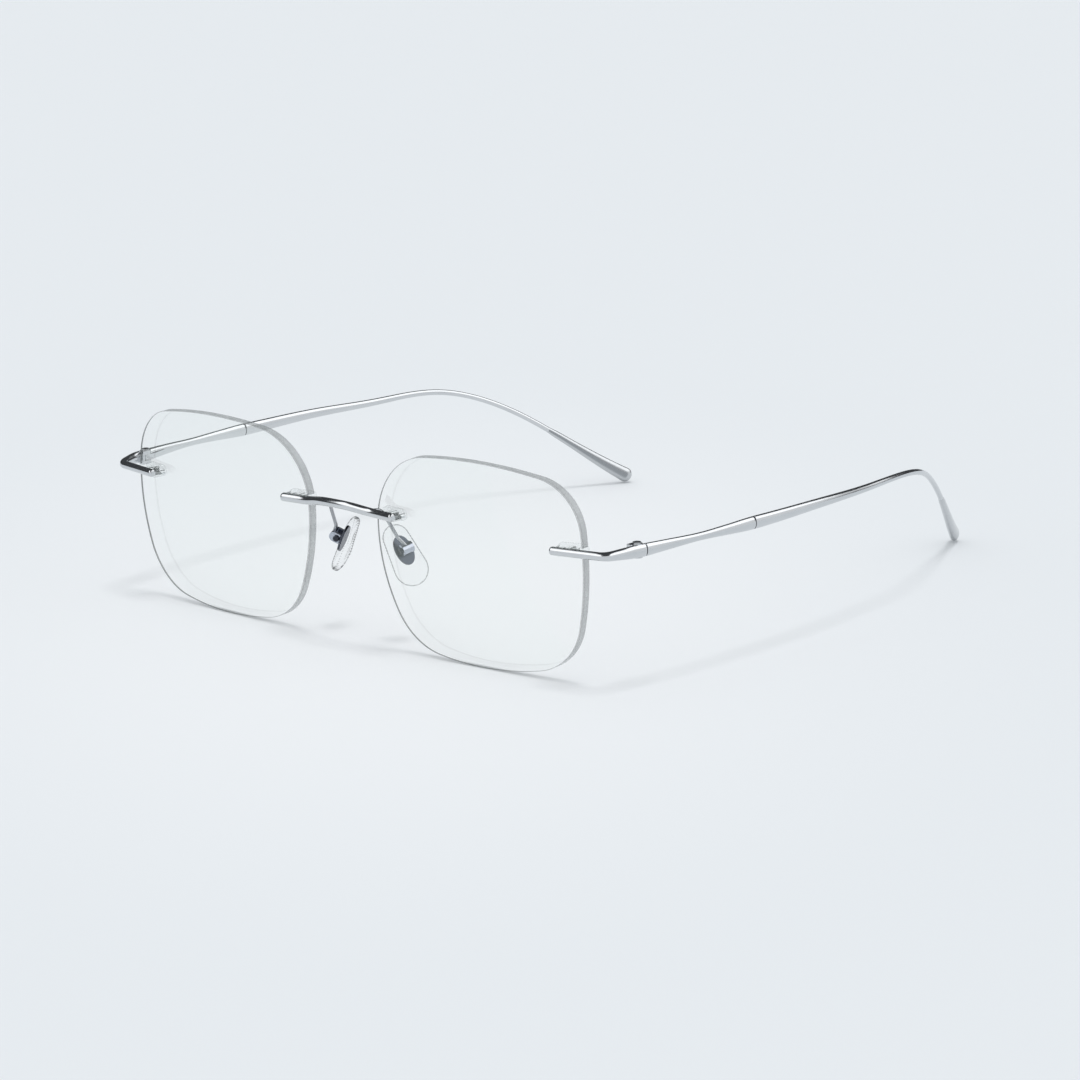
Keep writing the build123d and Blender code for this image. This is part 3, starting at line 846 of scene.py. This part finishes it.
def lens_outline():
    """Points round the lens: four arcs joined by tangent corner arcs, anticlockwise."""
    half_w, half_h = LENS_WIDTH / 2, LENS_HEIGHT / 2
    discs = (
        ((half_w - TEMPORAL_RADIUS, TEMPORAL_APEX), TEMPORAL_RADIUS),
        ((TOP_APEX, half_h - TOP_RADIUS), TOP_RADIUS),
        ((NASAL_RADIUS - half_w, NASAL_APEX), NASAL_RADIUS),
        ((BOTTOM_APEX, BOTTOM_RADIUS - half_h), BOTTOM_RADIUS),
    )
    corners = (TOP_TEMPORAL_CORNER, TOP_NASAL_CORNER, BOTTOM_NASAL_CORNER, BOTTOM_TEMPORAL_CORNER)
    turns = []
    for i, corner in enumerate(corners):
        (first, first_radius), (second, second_radius) = discs[i], discs[(i + 1) % 4]
        centre = inner_tangent_centre(first, first_radius - corner, second, second_radius - corner)
        turns.append((centre, corner, unit(centre - first), unit(centre - second)))
    points = []
    for i, (centre, corner, leave, join) in enumerate(turns):
        points += arc_points(*discs[i], turns[i - 1][3], leave)
        points += arc_points(centre, corner, leave, join)
    return np.array(points)


def inner_tangent_centre(first, first_reach, second, second_reach):
    """The crossing of two circles nearest the lens's middle, where a corner arc has its centre."""
    apart = np.subtract(second, first)
    distance = np.linalg.norm(apart)
    along = (distance**2 + first_reach**2 - second_reach**2) / (2 * distance)
    aside = sqrt(first_reach**2 - along**2)
    direction = apart / distance
    square = np.array((direction[1], -direction[0]))
    choices = [first + direction * along + square * side * aside for side in (-1, 1)]
    return min(choices, key=np.linalg.norm)


def arc_points(centre, radius, start, end):
    """Points from one direction to the next round a centre, anticlockwise, without the last."""
    first = np.arctan2(start[1], start[0])
    turn = (np.arctan2(end[1], end[0]) - first) % (2 * pi)
    steps = max(2, ceil(radius * turn / OUTLINE_STEP))
    angles = first + turn * np.arange(steps) / steps
    return [centre + radius * np.array((cos(a), sin(a))) for a in angles]


def lens_ring(outline, scale, sag, lift=0.0):
    u, v = (outline * scale).T
    return lens_plane.place(np.stack((u, v, lift - sag(u, v)), axis=1))


def lens_blank(name):
    """The lens before drilling: two sphere faces, a wall and two bevels."""
    outline = lens_outline()
    reach = np.linalg.norm(outline, axis=1)[:, None]
    bevelled = 1 - LENS_EDGE_BEVEL / reach
    scales = [bevelled * i / LENS_RINGS for i in range(1, LENS_RINGS + 1)]
    rings = [lens_ring(outline, scale, rear_sag) for scale in scales]
    rings.append(lens_ring(outline, 1, rear_sag, LENS_EDGE_BEVEL))
    rings.append(lens_ring(outline, 1, front_sag, -LENS_EDGE_BEVEL - LENS_RIM_STRIP))
    rings.append(lens_ring(outline, 1, front_sag, -LENS_EDGE_BEVEL))
    rings += [lens_ring(outline, scale, front_sag) for scale in reversed(scales)]
    points, faces = skin(rings)
    centre = np.zeros((1, 2))
    points[-2] = lens_ring(centre, 1, rear_sag)[0]
    points[-1] = lens_ring(centre, 1, front_sag)[0]
    return mesh_object(name, points, faces)


def mount_cutters(mount, outwards):
    """A round hole, and a notch that opens over the lens edge on the outwards side."""
    notch = [(outwards * NOTCH_REACH, LENS_HOLE_RADIUS)]
    for i in range(NOTCH_STEPS + 1):
        angle = pi / 2 + pi * i / NOTCH_STEPS
        notch.append((outwards * LENS_HOLE_RADIUS * cos(angle), LENS_HOLE_RADIUS * sin(angle)))
    notch.append((outwards * NOTCH_REACH, -LENS_HOLE_RADIUS))
    if outwards < 0:
        notch.reverse()
    shapes = (("hole", -outwards, circle(LENS_HOLE_RADIUS)), ("notch", outwards, notch))
    cutters = []
    for name, side, outline in shapes:
        plane = mount.shifted(side * PIN_HALF_SPACING)
        cutters.append(prism(name, plane, outline, -MOUNT_CUT_REACH, MOUNT_CUT_REACH))
    return cutters


def finish_lens_surface(piece):
    """Sorts the faces into surface, wall, bevel and strip, and gives the surface true normals."""
    mesh = piece.data
    axis = lens_plane.z_dir
    front_centre = lens_plane.place((0, 0, -LENS_FRONT_RADIUS))
    rear_centre = lens_plane.place((0, 0, -LENS_CENTRE_THICKNESS - LENS_REAR_RADIUS))
    normals = [tuple(corner.vector) for corner in mesh.corner_normals]
    for face in mesh.polygons:
        turn = np.array(face.normal) @ axis
        if abs(turn) > FLAT_TURN:
            face.material_index = SURFACE
            for loop in face.loop_indices:
                place = np.array(mesh.vertices[mesh.loops[loop].vertex_index].co) / MM
                if turn > 0:
                    normals[loop] = tuple(unit(place - front_centre))
                else:
                    normals[loop] = tuple(unit(rear_centre - place))
        elif abs(turn) > BEVEL_TURN:
            face.material_index = BEVEL
        else:
            behind = np.linalg.norm(np.array(face.center) / MM - front_centre) - LENS_FRONT_RADIUS
            near_front = -behind < LENS_EDGE_BEVEL + LENS_RIM_STRIP
            face.material_index = STRIP if near_front else WALL
    mesh.normals_split_custom_set(normals)


def make_lenses():
    left = lens_blank("drilled_lens_left")
    cut(left, mount_cutters(end_mount, 1) + mount_cutters(bridge_mount, -1))
    for material in (lens_clear, lens_wall, lens_bevel, lens_strip_painted_shade):
        left.data.materials.append(material)
    finish_lens_surface(left)
    for piece, side in both_sides(left, "drilled_lens"):
        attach(piece, "front")
        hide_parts(f"lens_{side}")


# ---------------------------------------- bridge and end pieces


def make_bridge():
    out = BRIDGE_RADIUS + SEAT_GAP
    left_half = [
        bridge_mount.place((BRIDGE_OUTER_REACH, 0, out)),
        bridge_mount.place((-BRIDGE_INNER_REACH, 0, out)),
        at(*BRIDGE_SHOULDER),
    ]
    right_half = [point * (-1, 1, 1) for point in reversed(left_half)]
    path = Path(softened(filleted(left_half + right_half, BRIDGE_BENDS), BRIDGE_SOFTENING))
    stations, insets = rounded_ends(0, path.length, ROD_STEP, ROD_END_ROUND, ROD_END_ROUND)
    widths = 2 * (BRIDGE_RADIUS - insets)
    piece = lofted("bridge_rod", path, stations, widths, widths)
    finish_piece(piece, "front", "bridge", "polished_silver", silver_bridge)


def hinge_cutters():
    """The room that the hinge leaves, the middle knuckle and the screw head need."""
    hinge_plane = Plane(at(HINGE_X, HINGE_Y, HINGE_BOTTOM_Z), (1, 0, 0), (0, 0, 1))
    slot_radius = KNUCKLE_RADIUS + KNUCKLE_CLEARANCE
    swing_outer = REAR_ARM_OUTER + KNUCKLE_CLEARANCE
    leaf = rectangle(LEAF_INNER, LEAF_FRONT, LEAF_OUTER, 0)
    web = rectangle(LEAF_INNER, LEAF_FRONT, LEAF_OUTER, LEAF_WEB_REAR)
    swing = rectangle(2 * LEAF_INNER, 0, swing_outer, SWING_REACH)
    shapes = (
        (circle(KNUCKLE_RADIUS), -OVERCUT, HINGE_TOP),
        (circle(slot_radius), OUTER_KNUCKLE_HEIGHT, UPPER_BOTTOM),
        (circle(HINGE_HEAD_RADIUS + SEAT_GAP), HINGE_TOP - OVERCUT, 2 * HINGE_TOP),
        (leaf, -OVERCUT, OUTER_KNUCKLE_HEIGHT),
        (leaf, UPPER_BOTTOM, HINGE_TOP),
        (web, -2 * OVERCUT, HINGE_TOP + OVERCUT),
        (swing, OUTER_KNUCKLE_HEIGHT, UPPER_BOTTOM),
    )
    return [prism("hinge_room", hinge_plane, outline, near, far) for outline, near, far in shapes]


def make_end_pieces():
    tip = end_mount.place((-END_ROD_REACH, 0, END_ROD_WIDTH / 2 + SEAT_GAP))
    path = Path(filleted([tip, at(*END_CORNER), at(*END_SHOULDER), at(*END_BUTT)], END_BENDS))
    stations, insets = rounded_ends(0, path.length, END_ROD_STEP, ROD_END_ROUND, BUTT_ROUND)
    widths, heights = section_sizes(END_SECTIONS, stations / path.length, insets)
    left = lofted("end_rod_left", path, stations, widths, heights)
    cut(left, hinge_cutters())
    for piece, side in both_sides(left, "end_rod"):
        finish_piece(piece, "front", f"end_piece_{side}", "polished_silver", silver_small)


# ---------------------------------------- temples and tips

temple_path = Path(
    clamped_spline(
        [at(*point) for point in TEMPLE_ROUTE],
        TEMPLE_START_HEADING,
        TEMPLE_END_HEADING,
        TEMPLE_PATH_POINTS,
    )
)


def make_temples():
    """Wires whose rings are close together where the collar's groove is turned."""
    stations, insets = rounded_ends(
        BUTT_GAP, TEMPLE_SECTIONS[-1][0], ROD_STEP, BUTT_ROUND, BUTT_ROUND
    )
    groove_stations = COLLAR_AT + COLLAR_GROOVE_WIDTH / 2 * GROOVE_PLACES
    keep = abs(stations - COLLAR_AT) > COLLAR_GROOVE_WIDTH
    insets = np.concatenate((insets[keep], 0 * groove_stations))
    stations = np.concatenate((stations[keep], groove_stations))
    order = np.argsort(stations)
    stations, insets = stations[order], insets[order]
    insets = insets + np.interp(stations, groove_stations, COLLAR_GROOVE_DEPTH * GROOVE_SHAPE)
    widths, heights = section_sizes(TEMPLE_SECTIONS, stations, insets)
    left = lofted("temple_wire_left", temple_path, stations, widths, heights)
    groove_middle = temple_path.position(COLLAR_AT) * MM
    along = temple_path.heading(COLLAR_AT)
    # faces near the middle of the groove get the painted shade
    in_groove = []
    for face in left.data.polygons:
        apart = np.array(face.center) - groove_middle
        near = np.linalg.norm(apart) < COLLAR_HEIGHT * MM
        in_groove.append(near and abs(apart @ along) < GROOVE_FLOOR * COLLAR_GROOVE_WIDTH * MM)
    for piece, side in both_sides(left, "temple_wire"):
        finish_piece(
            piece, f"temple_{side}", f"temple_{side}", "polished_silver", silver_temple, groove_painted_shade
        )
        piece.data.polygons.foreach_set("material_index", np.array(in_groove, dtype=np.int32))


def make_tips():
    """Sleeves that grow smoothly out of the wire and end in a rounded paddle."""
    start, end = TIP_SECTIONS[0][0], TIP_SECTIONS[-1][0]
    stations = np.linspace(start, end, ceil((end - start) / ROD_STEP))
    lip = TIP_LIP * np.clip(1 - (stations - start) / TIP_LIP_REACH, 0, 1) ** 2
    widths, heights = section_sizes(TIP_SECTIONS, stations, lip)
    cap = [pi / 2 * i / (TIP_CAP_STEPS + TIP_CAP_END) for i in range(1, TIP_CAP_STEPS + 1)]
    stations = np.concatenate((stations, [end + TIP_CAP_REACH * sin(a) for a in cap]))
    widths = np.concatenate((widths, [widths[-1] * cos(a) for a in cap]))
    heights = np.concatenate((heights, [heights[-1] * cos(a) for a in cap]))
    left = lofted("tip_sleeve_left", temple_path, stations, widths, heights, straight_from=end)
    for piece, side in both_sides(left, "tip_sleeve"):
        finish_piece(piece, f"temple_{side}", f"temple_tip_{side}", "silver_lacquer", tip_lacquer)


# ---------------------------------------- nose pads and their arms

pad_plane = Plane(at(*PAD_CENTRE), np.cross(PAD_UP, PAD_OUT), PAD_OUT)


def pad_outline(inset, per_arc=150, per_side=70):
    """Points round the pad's egg shape, drawn in by inset: two arcs and two straight sides."""
    upper = PAD_LENGTH / 2 - PAD_UPPER_RADIUS
    lower = PAD_LOWER_RADIUS - PAD_LENGTH / 2
    lean = asin((PAD_LOWER_RADIUS - PAD_UPPER_RADIUS) / (upper - lower))
    arcs = []
    for middle, radius, first, last in (
        (upper, PAD_UPPER_RADIUS - inset, lean, pi - lean),
        (lower, PAD_LOWER_RADIUS - inset, pi - lean, 2 * pi + lean),
    ):
        angles = np.linspace(first, last, per_arc)
        arcs.append(np.column_stack((radius * np.cos(angles), middle + radius * np.sin(angles))))
    sides = [np.linspace(arcs[i][-1], arcs[1 - i][0], per_side + 1)[1:-1] for i in (0, 1)]
    return np.concatenate((arcs[0], sides[0], arcs[1], sides[1]))


def make_pads():
    """Crowned clear silicone pads with fine cross ribs on the side that meets the nose."""
    deepest = PAD_UPPER_RADIUS - PAD_RIDGE
    insets = [deepest * (i / PAD_RINGS) ** PAD_RING_EASE for i in range(PAD_RINGS + 1)]
    shrink = [1 - i / PAD_RIDGE_RINGS for i in range(1, PAD_RIDGE_RINGS)]
    ridge = pad_outline(deepest)
    middle = np.mean(ridge, axis=0)

    def crown(inset):
        return (1 - (1 - inset / PAD_UPPER_RADIUS) ** PAD_CROWN_POWER) ** (1 / PAD_CROWN_POWER)

    def ring(outline, height, rib_depth):
        ribs = np.cos(2 * pi * outline[:, 1] / RIB_PITCH) * rib_depth
        return np.column_stack((outline, height + ribs))

    skin_side = []
    outer_side = []
    outlines = [(pad_outline(inset), crown(inset)) for inset in insets]
    outlines += [(middle + (ridge - middle) * share, 1.0) for share in shrink]
    for outline, rise in outlines:
        skin_side.append(ring(outline, -PAD_SKIN_CROWN * rise, RIB_DEPTH))
        outer_side.append(ring(outline, PAD_OUTER_CROWN * rise, 0.0))
    rings = [pad_plane.place(local) for local in reversed(skin_side)]
    rings += [pad_plane.place(local) for local in outer_side[1:]]
    points, faces = skin(rings)
    left = mesh_object("silicone_pad_left", points, faces)
    left.data.set_sharp_from_angle(angle=pi)
    turns = [abs(np.array(face.normal) @ pad_plane.z_dir) for face in left.data.polygons]
    edge = np.array([turn < PAD_EDGE_TURN for turn in turns], dtype=np.int32)
    for piece, side in both_sides(left, "silicone_pad"):
        finish_piece(piece, f"pad_{side}", f"nose_pad_{side}", "clear_silicone", silicone, silicone_edge)
        piece.data.polygons.foreach_set("material_index", edge)


def make_pad_arms():
    seat = pad_plane.place((0, PIVOT_UP, ARM_SEAT_OUT))
    path = Path(filleted([at(*point) for point in ARM_ROUTE] + [seat], ARM_BENDS))
    stations = np.linspace(0, path.length, ceil(path.length / ARM_STEP))
    widths = np.full(len(stations), 2 * ARM_RADIUS)
    left = lofted("pad_wire_left", path, stations, widths, widths)
    for piece, side in both_sides(left, "pad_wire"):
        finish_piece(piece, "front", f"pad_arm_{side}", "polished_silver", wire_metal)


# ---------------------------------------- CAD nodes that stay

KEPT_NODES = {
    "bridge_pins": pin_metal,
    "end_piece_pins": pin_metal,
    "end_piece_plug": plug_clear,
    "bridge_plug": plug_clear,
    "hinge_front_leaf": silver_small,
    "hinge_rear_leaf": silver_small,
    "hinge_washers": washer_nylon,
    "hinge_screw": screw_steel,
    "pad_core": core_painted_reflection,
    "pad_box": box_metal,
    "pad_screw": pad_screw_steel,
}


def dress_kept_nodes():
    for name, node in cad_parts.items():
        base = name.removesuffix("_left").removesuffix("_right")
        if base in KEPT_NODES:
            node.data.materials.clear()
            node.data.materials.append(KEPT_NODES[base])


# ---------------------------------------- stage, light and camera

CAMERA_AZIMUTH = radians(43.16)
CAMERA_ELEVATION = radians(13.5)
CAMERA_AIM = (0.0, -30.9, 20.0)
CAMERA_DISTANCE = 1031.0
CAMERA_YAW = radians(0.744)
CAMERA_PITCH = radians(-0.365)
CAMERA_ROLL = radians(-1.60)
CAMERA_LENS = 164.73
SENSOR_WIDTH = 36.0

FLOOR_SIZE = 12.0  # metres
# the floor's colour in the middle of the painted pool of light, and away from it
FLOOR_PAINTED_LIGHT_COLOUR = (0.830, 0.845, 0.862)
FLOOR_OUTER_COLOUR = (0.758, 0.785, 0.809)
PAINTED_LIGHT_CENTRE = (-0.005, -0.045, 0.0)  # metres, the middle of the pool of light painted on the floor
PAINTED_LIGHT_REACH = (0.15, 0.25, 1.0)  # metres across and away from the camera
SKY_COLOUR = (0.965, 0.985, 1.0)
SKY_STRENGTH = 0.86
SUN_STRENGTH = 0.70
SUN_ANGLE = radians(15)
SUN_TURN = (radians(-2), radians(6), 0)
PALE_WALL = (0.87, 0.885, 0.90)
SOFT_BOX = (1.65, 1.67, 1.69)
DARK_SCREEN = (0.055, 0.058, 0.062)
BOX_BOTTOM = (0.40, 0.34)  # heights of a unit direction where the soft boxes end low down
BOX_TOP = (0.82, 0.90)  # and where they give way to the screen overhead
BOX_SIDE = (0.34, 0.44)  # how far to the side they begin
SCREEN_AZIMUTH = radians(31.6)
SCREEN_LEAN = 0.587  # how far the screen behind leans over the object
SCREEN_EDGE = (-0.04, 0.04)


def make_floor():
    half = FLOOR_SIZE / 2
    mesh = bpy.data.meshes.new("floor")
    corners = [(-half, -half, 0), (half, -half, 0), (half, half, 0), (-half, half, 0)]
    mesh.from_pydata(corners, [], [(0, 1, 2, 3)])
    floor = add_object("floor", mesh)
    material, tree, output = node_material("floor_paper")
    shader = tree.nodes.new("ShaderNodeBsdfPrincipled")
    shader.inputs["Roughness"].default_value = 0.9
    shader.inputs["Specular IOR Level"].default_value = 0.1
    gradient = tree.nodes.new("ShaderNodeTexGradient")
    gradient.gradient_type = "SPHERICAL"
    painted_light = tree.nodes.new("ShaderNodeMapping")
    painted_light.vector_type = "TEXTURE"
    painted_light.inputs["Location"].default_value = PAINTED_LIGHT_CENTRE
    painted_light.inputs["Rotation"].default_value = (0, 0, CAMERA_AZIMUTH)
    painted_light.inputs["Scale"].default_value = PAINTED_LIGHT_REACH
    tree.links.new(object_position(tree), painted_light.inputs["Vector"])
    tree.links.new(painted_light.outputs["Vector"], gradient.inputs["Vector"])
    # painted light: the floor is paler in an oval pool that fades to the outer colour
    pale = mask(tree, gradient.outputs["Fac"], 0, 1)
    tree.links.new(
        two_tone(tree, pale, FLOOR_OUTER_COLOUR, FLOOR_PAINTED_LIGHT_COLOUR), shader.inputs["Base Color"]
    )
    tree.links.new(shader.outputs["BSDF"], output.inputs["Surface"])
    mesh.materials.append(material)


def make_world():
    """A pale studio. Only reflections see its parts: pale walls low down, a broad soft box on
    each side, and dark screens between them, overhead and behind the object."""
    world = bpy.data.worlds.new("studio")
    bpy.context.scene.world = world
    world.use_nodes = True
    tree = world.node_tree
    tree.nodes.clear()
    output = tree.nodes.new("ShaderNodeOutputWorld")
    where = tree.nodes.new("ShaderNodeTexCoord")
    direction = where.outputs["Generated"]
    height = towards(tree, direction, (0, 0, 1))
    side = towards(tree, direction, (cos(CAMERA_AZIMUTH), sin(CAMERA_AZIMUTH), 0))
    behind = towards(
        tree, direction, (-cos(SCREEN_AZIMUTH), sin(SCREEN_AZIMUTH), -SCREEN_LEAN)
    )
    sideways = product(tree, side, side)
    boxes = mask(tree, sideways, BOX_SIDE[0] ** 2, BOX_SIDE[1] ** 2)
    colour = two_tone(tree, boxes, DARK_SCREEN, SOFT_BOX)
    for amount, over in (
        (mask(tree, height, *BOX_BOTTOM), PALE_WALL),
        (mask(tree, height, *BOX_TOP), DARK_SCREEN),
        (mask(tree, behind, *SCREEN_EDGE), DARK_SCREEN),
    ):
        colour = blend_colour(tree, amount, colour, over)
    plain = tree.nodes.new("ShaderNodeBackground")
    plain.inputs["Color"].default_value = (*SKY_COLOUR, 1)
    plain.inputs["Strength"].default_value = SKY_STRENGTH
    studio = tree.nodes.new("ShaderNodeBackground")
    studio.inputs["Strength"].default_value = 1.0
    tree.links.new(colour, studio.inputs["Color"])
    paths = tree.nodes.new("ShaderNodeLightPath")
    choose = tree.nodes.new("ShaderNodeMixShader")
    tree.links.new(paths.outputs["Is Glossy Ray"], choose.inputs["Fac"])
    tree.links.new(plain.outputs["Background"], choose.inputs[1])
    tree.links.new(studio.outputs["Background"], choose.inputs[2])
    tree.links.new(choose.outputs["Shader"], output.inputs["Surface"])


def make_overhead_light():
    """A broad soft light almost straight overhead."""
    light = bpy.data.lights.new("overhead", "SUN")
    light.energy = SUN_STRENGTH
    light.angle = SUN_ANGLE
    lamp = add_object("overhead", light)
    lamp.rotation_euler = SUN_TURN
    lamp.visible_glossy = False


def turned(first, second, angle):
    """Two square directions turned towards each other by an angle."""
    return first * cos(angle) + second * sin(angle), second * cos(angle) - first * sin(angle)


def make_camera():
    level = np.array((-sin(CAMERA_AZIMUTH), cos(CAMERA_AZIMUTH), 0.0))
    away = level * cos(CAMERA_ELEVATION) - np.array((0, 0, sin(CAMERA_ELEVATION)))
    right = np.array((cos(CAMERA_AZIMUTH), sin(CAMERA_AZIMUTH), 0.0))
    place = np.array(CAMERA_AIM) - away * CAMERA_DISTANCE
    up = np.cross(right, away)
    away, right = turned(away, right, CAMERA_YAW)
    away, up = turned(away, up, CAMERA_PITCH)
    right, up = turned(right, up, CAMERA_ROLL)
    camera = bpy.data.cameras.new("camera")
    camera.sensor_width = SENSOR_WIDTH
    camera.lens = CAMERA_LENS
    camera.clip_start = 0.01
    camera.clip_end = 50.0
    viewer = add_object("camera", camera)
    matrix = Matrix.Identity(4)
    for column, axis in enumerate((right, up, -away, place * MM)):
        for row in range(3):
            matrix[row][column] = axis[row]
    viewer.matrix_world = matrix
    bpy.context.scene.camera = viewer


make_lenses()
make_bridge()
make_end_pieces()
make_temples()
make_tips()
make_pads()
make_pad_arms()
dress_kept_nodes()
make_floor()
make_world()
make_overhead_light()
make_camera()
bpy.context.scene.view_settings.view_transform = "Standard"
